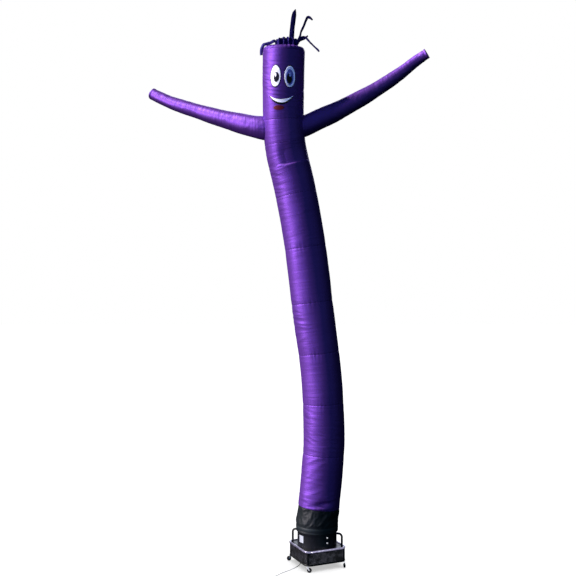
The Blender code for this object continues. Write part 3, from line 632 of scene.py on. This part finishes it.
def armPiece(side):
    table = armLooks[side]
    count = arm["segments"]
    length = sum((Vector(b[:3]) - Vector(a[:3])).length for a, b in zip(table, table[1:]))
    roots = [armRoot(table, 2 * pi * i / count) for i in range(count)]
    hemShare = 1 - arm["hem"] / length
    rings, alongs = [], []
    for k in range(arm["rows"] + 1):
        t = k / arm["rows"]
        ring = []
        for i in range(count):
            angle = 2 * pi * i / count
            share = roots[i] + (1 - roots[i]) * t
            fromRoot = (share - roots[i]) * length
            gather = 0.003 * exp(-fromRoot / 0.05) * crest(cos(angle) * 4.5, sin(angle) * 4.5, 2.0)
            gather -= 0.002 * exp(-fromRoot / 0.012)
            toTip = (share - hemShare) * length
            step = 0.0016 * smooth((toTip + 0.002) / 0.004)  # the folded hem stands proud
            groove = -0.0022 * bell(toTip + 0.003, 0.006)
            flare = arm["rise"] * smooth(toTip / arm["hem"])
            flare += 0.0025 * smooth(toTip / 0.01) * sin(3 * angle + 1)
            ring.append(blowerAt + armPoint(table, share, angle, gather + step + groove + flare))
        rings.append(ring)
        alongs.append(t * length)
    for k in range(13):  # plain inner face, from the tip back to the tube
        t = 1 - k / 12
        inset = -0.003 if k == 0 else -0.008
        ring = []
        for i in range(count):
            share = roots[i] + (1 - roots[i]) * t
            ring.append(blowerAt + armPoint(table, share, 2 * pi * i / count, inset, False))
        rings.append(ring)
        alongs.append(t * length)
    meanRadius = sum(row[3] for row in table) / len(table)
    piece = ringPiece(f"cloth_arm_{side}", rings, width=2 * pi * meanRadius, alongs=alongs)
    finishPiece(piece, [cloths["purple"]], replaced=(f"arm_{side}",))
    return length, hemShare


armFacts = {side: armPiece(side) for side in ("left", "right")}
print("stage: arms")

# Hair
topHeight = tube["seams"][-1] + 0.00015 + crownRows[-1][0]
topSide, topFront = crossAxes(leanAt(topHeight), Vector((1, 0, 0)))
topTurn = Matrix((topSide, topFront, leanAt(topHeight))).transposed()
topPlace = blowerAt + middleAt(topHeight)
hairLooks = {
    # points are x, y, z, width over the top of the head; the strip starts at an angle to the X axis
    "tall": {"start": 10, "twist": 15, "fold": 0.35, "points": [
        (0.080, -0.035, 0.000, 0.050), (0.084, -0.036, 0.070, 0.058), (0.088, -0.040, 0.165, 0.057),
        (0.096, -0.034, 0.255, 0.056), (0.105, -0.030, 0.330, 0.056), (0.112, -0.034, 0.370, 0.042),
        (0.122, -0.038, 0.405, 0.006)]},
    "hook": {"start": 58, "twist": -28, "fold": 0.4, "points": [
        (0.115, 0.018, 0.000, 0.040), (0.140, 0.018, 0.050, 0.040), (0.168, 0.018, 0.095, 0.038),
        (0.183, 0.020, 0.130, 0.034), (0.192, 0.022, 0.175, 0.032), (0.220, 0.028, 0.237, 0.032),
        (0.245, 0.034, 0.306, 0.034), (0.259, 0.036, 0.331, 0.034), (0.284, 0.032, 0.327, 0.032),
        (0.314, 0.026, 0.302, 0.018)]},
    "long": {"start": 52, "twist": -12, "fold": 0.4, "points": [
        (0.138, -0.030, 0.000, 0.042), (0.165, -0.031, 0.055, 0.044), (0.200, -0.034, 0.095, 0.044),
        (0.240, -0.038, 0.096, 0.036), (0.288, -0.044, 0.048, 0.028), (0.345, -0.052, -0.004, 0.026),
        (0.378, -0.056, -0.035, 0.030), (0.395, -0.058, -0.053, 0.022)]},
    "fork": {"start": 50, "twist": -15, "fold": 0.4, "points": [
        (0.118, 0.066, 0.000, 0.036), (0.150, 0.066, 0.060, 0.038), (0.195, 0.064, 0.092, 0.036),
        (0.228, 0.060, 0.104, 0.030), (0.268, 0.058, 0.136, 0.018)]},
    "arch": {"start": 48, "twist": -8, "fold": 0.3, "points": [
        (-0.072, 0.006, 0.000, 0.050), (-0.085, 0.004, 0.048, 0.050), (-0.112, 0.000, 0.064, 0.048),
        (-0.150, -0.004, 0.044, 0.046), (-0.190, -0.008, 0.030, 0.046), (-0.228, -0.012, 0.016, 0.044),
        (-0.251, -0.016, -0.035, 0.042), (-0.254, -0.020, -0.100, 0.034)]},
}


def onTop(p):
    return topPlace + topTurn @ Vector(p)


def hairStrip(name, look):
    points = look["points"]
    steps, columns = 64, 9
    wide = polar(1, look["start"], 0)
    before = upward
    rings, alongs, along = [], [], 0.0
    for k in range(steps + 1):
        share = k / steps
        x, y, z, width = pointsAt(points, share)
        ahead = Vector(pointsAt(points, min(share + 0.02, 1))[:3])
        behind = Vector(pointsAt(points, max(share - 0.02, 0))[:3])
        tangent = (ahead - behind).normalized() if k else before
        wide.rotate(before.rotation_difference(tangent))  # the breadth is carried along the strip
        before = tangent
        across = Matrix.Rotation(radians(look["twist"]) * share, 3, tangent) @ wide
        flat = tangent.cross(across)
        middle = Vector((x, y, z + 0.0003))
        top, bottom = [], []
        for i in range(columns):
            u = i / (columns - 1) - 0.5
            ruck = 0.10 * noise.noise(Vector((u * 5, share * 14, len(name))))
            bend = look["fold"] * (abs(u) - 0.25) + ruck
            spot = middle + across * (u * width) + flat * (bend * width)
            edge = 0.6 if i in (0, columns - 1) else 1.0
            top.append(spot + flat * 0.00125 * edge)
            bottom.append(spot - flat * 0.00125 * edge)
        rings.append([onTop(p) for p in bottom + list(reversed(top))])
        if k:
            along += (middle - last).length
        last = middle
        alongs.append(along)
    piece = ringPiece(name, rings, loop=False, caps=True, width=0.12, alongs=alongs, angle=50)
    return piece, along, sum(p[3] for p in points) / len(points)


for hairName, hairLook in hairLooks.items():
    strip, stripLength, stripWidth = hairStrip(f"strip_{hairName}", hairLook)
    finishPiece(strip, [cloths["hair"]], replaced=(f"hair_{hairName}",))

ruffleLooks = {
    "front": {"start": (-0.090, -0.100), "end": (0.149, -0.080), "depth": 0.017, "phase": 0.4},
    "back": {"start": (-0.088, 0.108), "end": (0.110, 0.112), "depth": 0.014, "phase": 2.1},
}


def ruffle(name, look):
    stations, rows = 120, 10
    start, end = Vector(look["start"]), Vector(look["end"])
    rings, alongs, along = [], [], 0.0
    for k in range(stations + 1):
        t = k / stations
        wave = 4.5 * 2 * pi * t + look["phase"]
        flat = start + (end - start) * t
        slope = look["depth"] * cos(wave) * 4.5 * 2 * pi / (end.x - start.x)
        normal = Vector((-slope, 1, 0)).normalized()
        height = 0.090 + 0.010 * t + 0.004 * sin(2.7 * wave + look["phase"]) + 0.004 * sin(1.3 * wave)
        height *= 0.72 + 0.28 * sin(pi * t)
        near, far = [], []
        for i in range(rows):
            s = i / (rows - 1)
            crumple = 0.010 * s * noise.noise(Vector((t * 22, s * 3, look["phase"])))
            x = flat.x + 0.006 * sin(wave) * s + crumple
            y = flat.y + look["depth"] * sin(wave) + 0.010 * sin(2 * wave + look["phase"]) * s + crumple
            spot = Vector((x, y, 0.0003 + (height + 0.5 * crumple) * s))
            near.append(spot - normal * 0.0015)
            far.append(spot + normal * 0.0015)
        rings.append([onTop(p) for p in near + list(reversed(far))])
        if k:
            along += (near[5] - last).length
        last = near[5]
        alongs.append(along)
    piece = ringPiece(name, rings, loop=False, caps=True, width=0.12, alongs=alongs, angle=50)
    return piece, along


for ruffleName, ruffleLook in ruffleLooks.items():
    band, bandLength = ruffle(f"gather_{ruffleName}", ruffleLook)
    finishPiece(band, [cloths["hair"]], replaced=(f"hair_ruffle_{ruffleName}",))
print("stage: hair")

# Face print
face = {"proud": 0.0006, "thick": 0.0005}
faceShapes = [
    # name, ink, kind, centre across from the front and height in metres, half width, half height, layer
    ("eye_rim_left", "darkInk", "oval", (-0.086, 5.476), 0.066, 0.122, 0),
    ("eye_rim_right", "darkInk", "oval", (0.077, 5.470), 0.072, 0.121, 0),
    ("eye_white_left", "whiteInk", "oval", (-0.086, 5.476), 0.058, 0.114, 1),
    ("eye_white_right", "whiteInk", "oval", (0.077, 5.470), 0.064, 0.1125, 1),
    # painted shade: a blue patch in the right eye only, where the left eye has none
    ("iris_right", "blueInk", "oval", (0.075, 5.464), 0.045, 0.085, 2),
    ("pupil_left", "darkInk", "oval", (-0.074, 5.464), 0.031, 0.053, 2),
    ("pupil_right", "darkInk", "oval", (0.070, 5.450), 0.031, 0.056, 3),
    ("glint_left", "whiteInk", "oval", (-0.086, 5.488), 0.011, 0.020, 3),
    # the right glint is printed like the left, but greyed as painted shade
    ("glint_right", "greyInk", "oval", (0.078, 5.490), 0.012, 0.022, 4),
    ("smile_line", "darkInk", "smile", (-0.018, 5.252), 0.145, 0.060, 0),
    ("smile_white", "whiteInk", "smile", (-0.018, 5.262), 0.134, 0.036, 1),
    ("lip_patch", "redInk", "oval", (-0.048, 5.135), 0.060, 0.026, 1),
]


# Point of the head's front, at a true height although the head leans
def headPoint(across, z, layer):
    angle = across / tube["radius"] - pi / 2
    proud = face["proud"] * (1 + layer * 0.8)
    height = z
    for _ in range(3):
        height += z - tubePoint(height, angle, proud).z
    return tubePoint(height, angle, proud)


def facePatch(name, kind, centre, halfWide, halfHigh, layer):
    bm = bmesh.new()
    rows, columns = 20, 48
    rings = []
    for k in range(rows + 1):
        s = k / rows
        ring = []
        for i in range(columns):
            a = 2 * pi * i / columns
            if kind == "oval":
                u, v = cos(a) * halfWide * s, sin(a) * halfHigh * s
            else:  # crescent between two arcs
                u = cos(a) * halfWide * s
                sag = 0.068 * ((u / 0.142) ** 2) - 0.055
                thin = sqrt(max(0.0, 1 - (0.96 * cos(a) * s) ** 2) + 0.02)
                v = sag + sin(a) * halfHigh * 0.5 * s * thin
            ring.append(headPoint(centre[0] + u, centre[1] + v, layer))
        rings.append(ring)
    middle = bm.verts.new(sum(rings[0], Vector()) / columns)
    made = [[bm.verts.new(p) for p in ring] for ring in rings[1:]]
    for i in range(columns):
        j = (i + 1) % columns
        bm.faces.new((middle, made[0][i], made[0][j]))
        for low, high in zip(made, made[1:]):
            bm.faces.new((low[i], high[i], high[j], low[j]))
    bmesh.ops.recalc_face_normals(bm, faces=bm.faces)
    out = sum((f.normal for f in bm.faces), Vector())
    if out.y > 0:
        bmesh.ops.reverse_faces(bm, faces=bm.faces)
    piece = meshPiece(name, bm)
    wall = piece.modifiers.new("wall", "SOLIDIFY")
    wall.thickness = face["thick"]
    wall.offset = -1.0
    return piece


for shapeName, ink, kind, centre, halfWide, halfHigh, layer in faceShapes:
    finishPiece(facePatch(shapeName, kind, centre, halfWide, halfHigh, layer), [inks[ink]])
print("stage: face")

# Sleeve and strap
sleeve = {
    "bottom": 0.392, "top": 0.6597, "radius": 0.2364, "thickness": 0.0025, "fold": 0.0070, "segments": 144,
}
strapBand = {"low": 0.419, "proud": 0.0004}


def sleeveFold(z, a):
    slack = smooth((z - 0.462) / 0.04) * smooth((0.668 - z) / 0.03)
    ca, sa = cos(a), sin(a)
    deep = crest(ca * 2.6 + 2, sa * 2.6, z * 9 + 1.5 * sin(2 * a))
    fine = crest(ca * 5.5, sa * 5.5 + 3, z * 15)
    pull = 0.0022 * bell(z - 0.47, 0.03) * crest(ca * 9, sa * 9, 1.0)
    return slack * (sleeve["fold"] * (deep - 0.45) + 0.0044 * fine) + pull


def sleeveRing(z, proud=0.0, wrinkled=True):
    t = smooth((z - 0.485) / (sleeve["top"] - 0.485))
    high = middleAt(sleeve["top"])
    middle = Vector((high.x * t, high.y * t, z))
    lean = upward.lerp(leanAt(sleeve["top"]), t).normalized()
    flare = 0.003 * smooth((0.418 - z) / 0.022)

    def radiusAt(a):
        base = sleeve["radius"] + (tube["radius"] - 0.003 - sleeve["radius"]) * t + flare
        base += flare * 0.5 * sin(7 * a)
        return base + proud + (sleeveFold(z, a) if wrinkled else 0.0)

    return ringAround(blowerAt + middle, lean, sleeve["segments"], radiusAt)


sleeveHeights = [sleeve["bottom"] + (sleeve["top"] - sleeve["bottom"]) * i / 60 for i in range(61)]
sleeveInner = [sleeve["top"] - (sleeve["top"] - sleeve["bottom"]) * i / 6 for i in range(7)]
sleeveRings = [sleeveRing(z) for z in sleeveHeights]
sleeveRings += [sleeveRing(z, -sleeve["thickness"] if z < 0.48 else -0.012, False) for z in sleeveInner]
sleevePiece = ringPiece("sleeve_cloth_wrap", sleeveRings, width=1.48, alongs=sleeveHeights + sleeveInner)
finishPiece(sleevePiece, [cloths["sleeve"]], replaced=("sleeve",))

strapRadius = sleeve["radius"] + strapBand["proud"]
strapProfile = [
    (0.0000, 0.0015), (0.0016, 0.0003), (0.0030, 0.0025), (0.0030, 0.0345), (0.0016, 0.0367), (0.0, 0.0355),
]
strapRings = []
for reach, rise in strapProfile:
    middle = blowerAt + Vector((0, 0, strapBand["low"] + rise))
    strapRings.append(ringAround(middle, upward, sleeve["segments"], lambda a, r=reach: strapRadius + r))
strap = ringPiece("strap_band", strapRings, width=1.49, alongs=[r[1] for r in strapProfile], angle=40)
finishPiece(strap, [cloths["strap"]], replaced=("strap",))
print("stage: sleeve")


# Blower
blower = {
    "drumRadius": 0.223, "wall": 0.003, "bead": 0.2335, "half": 0.247, "corner": 0.07, "hoop": 0.0125,
    "hoopHeight": 0.2205, "rail": 0.010, "railHeight": 0.077, "deck": 0.003,
}
turnMatrix = Matrix.Rotation(blowerTurn, 3, "Z")


def turned(name, profile, steps):
    bm = bmesh.new()
    made = []
    for k in range(steps):
        a = 2 * pi * k / steps
        made.append([bm.verts.new(blowerAt + Vector((r * cos(a), r * sin(a), z))) for r, z in profile])
    size = len(profile)
    for k in range(steps):
        n = (k + 1) % steps
        for i in range(size):
            j = (i + 1) % size
            bm.faces.new((made[k][i], made[n][i], made[n][j], made[k][j]))
    bmesh.ops.recalc_face_normals(bm, faces=bm.faces)
    return meshPiece(name, bm, 35)


def finishHard(piece, key, node):
    finishPiece(piece, [finishes[key]], replaced=(node,))


deckLow = blower["hoopHeight"] - blower["deck"] / 2
deckTop = deckLow + blower["deck"]
drumR, wall, bead = blower["drumRadius"], blower["wall"], blower["bead"]
drumProfile = [
    (bead - 0.004, 0.480), (bead - 0.001, 0.4765), (bead, 0.470), (bead, 0.413), (bead - 0.001, 0.409),
    (drumR + 0.001, 0.4055), (drumR, 0.402), (drumR, 0.262), (drumR, deckTop + 0.0003),
    (drumR - wall, deckTop + 0.0003), (drumR - wall, 0.409), (bead - wall, 0.415), (bead - wall, 0.468),
    (bead - wall - 0.004, 0.480),
]
finishHard(turned("drum_shell", drumProfile, 128), "drum", "fan_drum")


def roundedSquare(half, radius, steps):
    points = []
    for quarter in range(4):
        turn = quarter * pi / 2
        centre = Matrix.Rotation(turn, 2) @ Vector((half - radius, half - radius))
        for k in range(steps + 1):
            a = turn + pi / 2 * k / steps
            points.append(centre + Vector((cos(a), sin(a))) * radius)
    return points


def placed(p, z):
    return blowerAt + turnMatrix @ Vector((p[0], p[1], z))


def tubeAlong(name, points, radius, closed=False, sides=16, hint=upward):
    count = len(points)
    rings = []
    for i, p in enumerate(points):
        ahead = points[(i + 1) % count] if closed or i < count - 1 else p
        behind = points[i - 1] if closed or i else p
        tangent = (ahead - behind).normalized()
        rings.append(ringAround(p, tangent, sides, lambda a: radius, hint))
    return ringPiece(name, rings, loop=closed, caps=not closed, angle=50)


outline = roundedSquare(blower["half"], blower["corner"], 12)
hoopLine = [placed(p, blower["hoopHeight"]) for p in outline]
railLine = [placed(p, blower["railHeight"]) for p in outline]
finishHard(tubeAlong("hoop_tube", hoopLine, blower["hoop"], True, 20), "hoop", "top_hoop")
finishHard(tubeAlong("rail_tube", railLine, blower["rail"], True), "frame", "bottom_rail")

for side in ("left", "right"):
    corner = cornerNames[side]
    reach, top, bend = 0.295, 0.370, 0.035
    route = [(reach, deckTop + 0.0003), (reach, 0.29), (reach, top - bend)]
    for k in range(1, 11):
        a = pi / 2 * k / 10
        route.append((reach - bend + bend * cos(a), top - bend + bend * sin(a)))
    route.append((drumR * cos(pi / 32) + 0.0006, top))
    points = [blowerAt + polar(r, corner, z) for r, z in route]
    beside = polar(1, corner + 90, 0)
    handle = tubeAlong(f"grip_{side}", points, 0.012, sides=18, hint=beside)
    finishHard(handle, "handle", f"handle_{side}")

keptNodes = {  # finish: CAD nodes that show as they are
    "frame": ["deck", "bottom_tray", *["post_" + corner for corner in cornerNames]],
    "plug": ["cord_gland", "cord_plug"],
    "zinc": ["drum_bolt_1", "drum_bolt_2", *["caster_mount_" + corner for corner in cornerNames],
             *["caster_fork_" + corner for corner in cornerNames]],
    "plate": ["rating_plate"],
    "liner": ["side_guard"],
    "rubber": ["caster_wheel_" + corner for corner in cornerNames],
}
for key, nodes in keptNodes.items():
    for node in nodes:
        for holder in frame["nodes"][node].material_slots:
            holder.material = finishes[key]
print("stage: blower")


def newTree(name, inputs):  # input name -> kind of socket
    tree = bpy.data.node_groups.new(name, "GeometryNodeTree")
    for title, kind in {"Geometry": "Geometry", **inputs}.items():
        tree.interface.new_socket(name=title, in_out="INPUT", socket_type="NodeSocket" + kind)
    tree.interface.new_socket(name="Geometry", in_out="OUTPUT", socket_type="NodeSocketGeometry")
    return tree, addNode(tree, "NodeGroupInput")


# Points on the given curve at the spacing of the second input
def spotsAlong(tree, given):
    links = {"Curve": (given, 0), "Length": (given, 1)}
    return addNode(tree, "GeometryNodeResampleCurve", links, mode="LENGTH")


# Wire mesh of the side guard, from a node tree: upright wires spaced along the path, and level wires
def wireTree():
    inputs = {"Spacing": "Float", "Wire": "Float", "Height": "Float", "Rows": "Int", "Finish": "Material"}
    tree, given = newTree("wireMesh", inputs)
    ring = addNode(tree, "GeometryNodeCurvePrimitiveCircle", {"Resolution": 5, "Radius": (given, 2)})
    up = addNode(tree, "ShaderNodeCombineXYZ", {2: (given, 3)})
    line = addNode(tree, "GeometryNodeCurvePrimitiveLine", {"End": up})
    upright = addNode(tree, "GeometryNodeCurveToMesh", {0: line, 1: ring})
    spots = spotsAlong(tree, given)
    uprights = addNode(tree, "GeometryNodeInstanceOnPoints", {"Points": spots, "Instance": upright})
    level = addNode(tree, "GeometryNodeCurveToMesh", {0: (given, 0), 1: ring})
    less = addNode(tree, "ShaderNodeMath", {0: (given, 4), 1: 1.0}, operation="SUBTRACT")
    rise = addNode(tree, "ShaderNodeMath", {0: (given, 3), 1: less}, operation="DIVIDE")
    offset = addNode(tree, "ShaderNodeCombineXYZ", {2: rise})
    ladder = addNode(tree, "GeometryNodeMeshLine", {"Count": (given, 4), "Offset": offset})
    levels = addNode(tree, "GeometryNodeInstanceOnPoints", {"Points": ladder, "Instance": level})
    joined = addNode(tree, "GeometryNodeJoinGeometry")
    tree.links.new(uprights.outputs[0], joined.inputs[0])
    tree.links.new(levels.outputs[0], joined.inputs[0])
    real = addNode(tree, "GeometryNodeRealizeInstances", {0: joined})
    painted = addNode(tree, "GeometryNodeSetMaterial", {0: real, "Material": (given, 5)})
    addNode(tree, "NodeGroupOutput", {0: painted})
    return tree


guardLook = {"Spacing": 0.0125, "Wire": 0.0011, "Height": 0.128, "Rows": 11, "Finish": finishes["wire"]}
guardPath = roundedSquare(blower["half"] - 0.0096, blower["corner"] - 0.0096, 12)
guardSource = pathObject("guard_path", [placed(p, 0.0745) for p in guardPath], True)
setInputs(guardSource, wireTree(), guardLook)
guardWires = bakeNodes(guardSource, "guard_wires")
finishPiece(guardWires, [])
print("stage: guard")


# Stitch rows, from a node tree: short threads laid along each seam
def stitchTree():
    inputs = {"Pitch": "Float", "Thread": "Float", "Share": "Float", "Finish": "Material"}
    tree, given = newTree("stitchRow", inputs)
    spots = spotsAlong(tree, given)
    length = addNode(tree, "ShaderNodeMath", {0: (given, 1), 1: (given, 3)}, operation="MULTIPLY")
    size = addNode(tree, "ShaderNodeCombineXYZ", {0: (given, 2), 1: (given, 2), 2: length})
    bead = addNode(tree, "GeometryNodeMeshUVSphere", {"Segments": 6, "Rings": 4, "Radius": 0.5})
    tangent = addNode(tree, "GeometryNodeInputTangent")
    turn = addNode(tree, "FunctionNodeAlignRotationToVector", {"Vector": tangent})
    parts = {"Points": spots, "Instance": bead, "Rotation": turn, "Scale": size}
    laid = addNode(tree, "GeometryNodeInstanceOnPoints", parts)
    real = addNode(tree, "GeometryNodeRealizeInstances", {0: laid})
    painted = addNode(tree, "GeometryNodeSetMaterial", {0: real, "Material": (given, 4)})
    addNode(tree, "NodeGroupOutput", {0: painted})
    return tree


stitches = stitchTree()
stitchLook = {"Pitch": 0.0062, "Thread": 0.0012, "Share": 0.78, "Finish": finishes["thread"]}
stitchRows = []
for number, seam in enumerate(tube["seams"]):
    line = tubeRing(seam + 0.007, 240, 0.0004, shape=shapes.get(number + 1))
    stitchRows.append((f"stitches_{round(seam * 100)}", line))
for side in ("left", "right"):
    table = armLooks[side]
    share = armFacts[side][1] + 0.004 / armFacts[side][0]
    hemLine = [blowerAt + armPoint(table, share, 2 * pi * i / 90, 0.0026) for i in range(90)]
    stitchRows.append((f"stitches_hem_{side}", hemLine))
for rowName, points in stitchRows:
    source = pathObject(rowName + "_path", points, True)
    setInputs(source, stitches, stitchLook)
    row = bakeNodes(source, rowName)
    row.data.shade_smooth()
    finishPiece(row, [])
print("stage: stitches")

# Floor, lights and background
floorMesh = bpy.data.meshes.new("studio_floor")
floorMesh.from_pydata([(-40, -14, 0), (40, -14, 0), (40, 60, 0), (-40, 60, 0)], [], [(0, 1, 2, 3)])
floor = bpy.data.objects.new("studio_floor", floorMesh)
bpy.context.scene.collection.objects.link(floor)
floorPaint, _, floorShader = newMaterial("paleStudioPaint", "#f5f5f6", 0.8)
floorShader.inputs["Emission Color"].default_value = (1, 1, 1, 1)
floorShader.inputs["Emission Strength"].default_value = 0.5
floorMesh.materials.append(floorPaint)
floor.visible_diffuse = False
floor.visible_glossy = False

lights = [
    # name, energy, linear colour, width in degrees, comes from (azimuth, height), lit things
    ("key", 3.2, (1.0, 1.0, 0.88), 4, (-90, 46), "all"),
    ("low_key", 1.9, (0.94, 0.84, 0.93), 5, (-73, 11), "all"),
    ("sky_left", 0.20, (0.10, 0.22, 1.0), 30, (-38, 10), "all"),
    ("sky_fill", 0.26, (0.37, 0.78, 1.0), 120, (20, 30), "all"),
    ("back_fill", 0.9, (0.8, 0.85, 1.0), 40, (176, 25), "all"),
    ("card", 4.6, (1.0, 1.0, 1.0), 24, (34, 38), "bright"),
    ("print_key", 3.4, (1.0, 1.0, 1.0), 10, (-66, 20), "print"),
    ("print_sky", 1.2, (0.26, 0.38, 1.0), 60, (30, 20), "print"),
    ("overhead", 2.6, (1.0, 1.0, 1.0), 100, (0, 88), "floor"),
]
receivers = {key: bpy.data.collections.new(key + "_lit") for key in ("all", "bright", "print", "floor")}
brightNames = (
    "hoop_tube", "guard_wires", "power_cord", "drum_bolt", "rating_plate", "caster_fork", "caster_mount",
)
for ob in bpy.context.scene.objects:
    if ob.type not in {"MESH", "CURVE"}:
        continue
    receivers["floor" if ob == floor else "all"].objects.link(ob)
    if ob.name.startswith(("eye_white", "smile_white", "glint", "iris")):
        receivers["print"].objects.link(ob)
    if ob.name.startswith(brightNames):
        receivers["bright"].objects.link(ob)
for lightName, energy, colour, angle, (azimuth, height), lit in lights:
    data = bpy.data.lights.new(lightName, "SUN")
    data.energy = energy
    data.color = colour
    data.angle = radians(angle)
    lamp = bpy.data.objects.new(lightName, data)
    source = polar(cos(radians(height)), azimuth - 90, sin(radians(height)))
    lamp.rotation_euler = source.to_track_quat("Z", "Y").to_euler()
    lamp.light_linking.receiver_collection = receivers[lit]
    bpy.context.scene.collection.objects.link(lamp)

world = bpy.data.worlds.new("paleRoom")
world.use_nodes = True
world.node_tree.nodes["Background"].inputs[0].default_value = (1, 1, 1, 1)
world.node_tree.nodes["Background"].inputs[1].default_value = 1.0
world.cycles_visibility.diffuse = False
world.cycles_visibility.glossy = False
bpy.context.scene.world = world
bpy.context.scene.view_settings.view_transform = "Standard"
